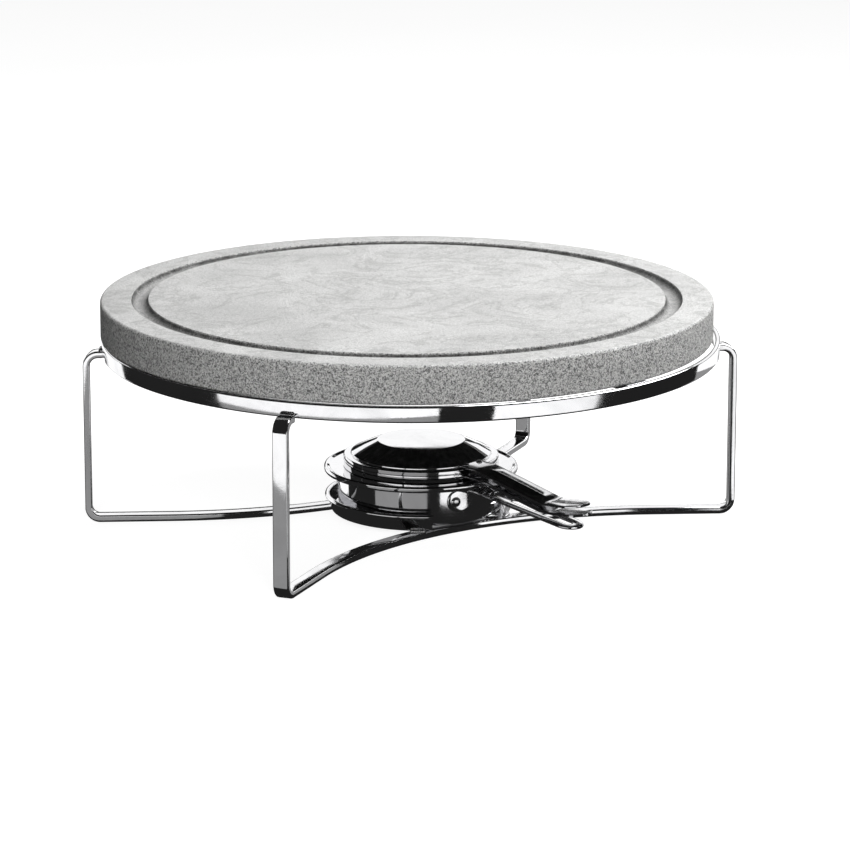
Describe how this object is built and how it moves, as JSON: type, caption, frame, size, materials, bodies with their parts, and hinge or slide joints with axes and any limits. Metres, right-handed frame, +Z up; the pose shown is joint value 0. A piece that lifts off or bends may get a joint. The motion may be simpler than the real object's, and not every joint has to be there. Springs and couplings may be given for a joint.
{
  "type": "hot stone grill",
  "caption": "Table-top hot stone grill: round grooved stone plate on a bent-bar ring stand over a gel burner with regulator ring, snuffer lid and flat handles.",
  "frame": {"origin": "on the table, under the middle of the support ring", "axes": "+Z up, front is -Y, the burner's handles point to the front right, between +X and -Y"},
  "size_m": [0.322, 0.303, 0.112],
  "materials": {
    "stone": "honed natural grey stone, finely speckled",
    "stand_chrome": "polished chrome plate",
    "weld": "plated weld fillet",
    "burner_steel": "mirror polished stainless steel",
    "handle_steel": "polished pressed steel",
    "cup_aluminium": "drawn, dull",
    "wadding": "felted mineral fibre",
    "gauze_brass": "woven wire, heat-tinted",
    "spring_steel": "plain",
    "rivet": "bright"
  },
  "bodies": {
    "stand": {"support_ring": "stand_chrome", "stone_lugs": "stand_chrome", "front_bar": "stand_chrome", "rear_bar": "stand_chrome", "ring_welds": "weld", "burner_tray": "stand_chrome", "tray_welds": "weld"},
    "stone": {"stone_plate": "stone"},
    "burner": {"burner_pot": "burner_steel", "pot_flange": "burner_steel", "fuel_cup": "cup_aluminium", "fuel_wadding": "wadding", "wire_gauze": "gauze_brass", "gauze_clip": "spring_steel", "regulator_keeper": "spring_steel", "pot_handle": "burner_steel", "pot_handle_rivets": "rivet"},
    "regulator": {"regulator_ring": "burner_steel", "regulator_handle": "handle_steel", "regulator_weld": "weld"},
    "lid": {"snuffer_lid": "burner_steel", "lid_handle": "handle_steel", "lid_rivets": "rivet"}
  },
  "joints": [
    {"name": "stone_lift", "type": "slide", "parent": "stand", "child": "stone", "axis": [0, 0, 1], "range_m": [0, 0.06]},
    {"name": "burner_lift", "type": "slide", "parent": "stand", "child": "burner", "axis": [0, 0, 1], "range_m": [0, 0.025]},
    {"name": "regulator_turn", "type": "hinge", "parent": "burner", "child": "regulator", "pos_m": [0.005, 0.003, 0.026], "axis": [0, 0, 1], "range_deg": [-22, 22]},
    {"name": "lid_lift", "type": "slide", "parent": "burner", "child": "lid", "axis": [0, 0, 1], "range_m": [0, 0.025]}
  ]
}
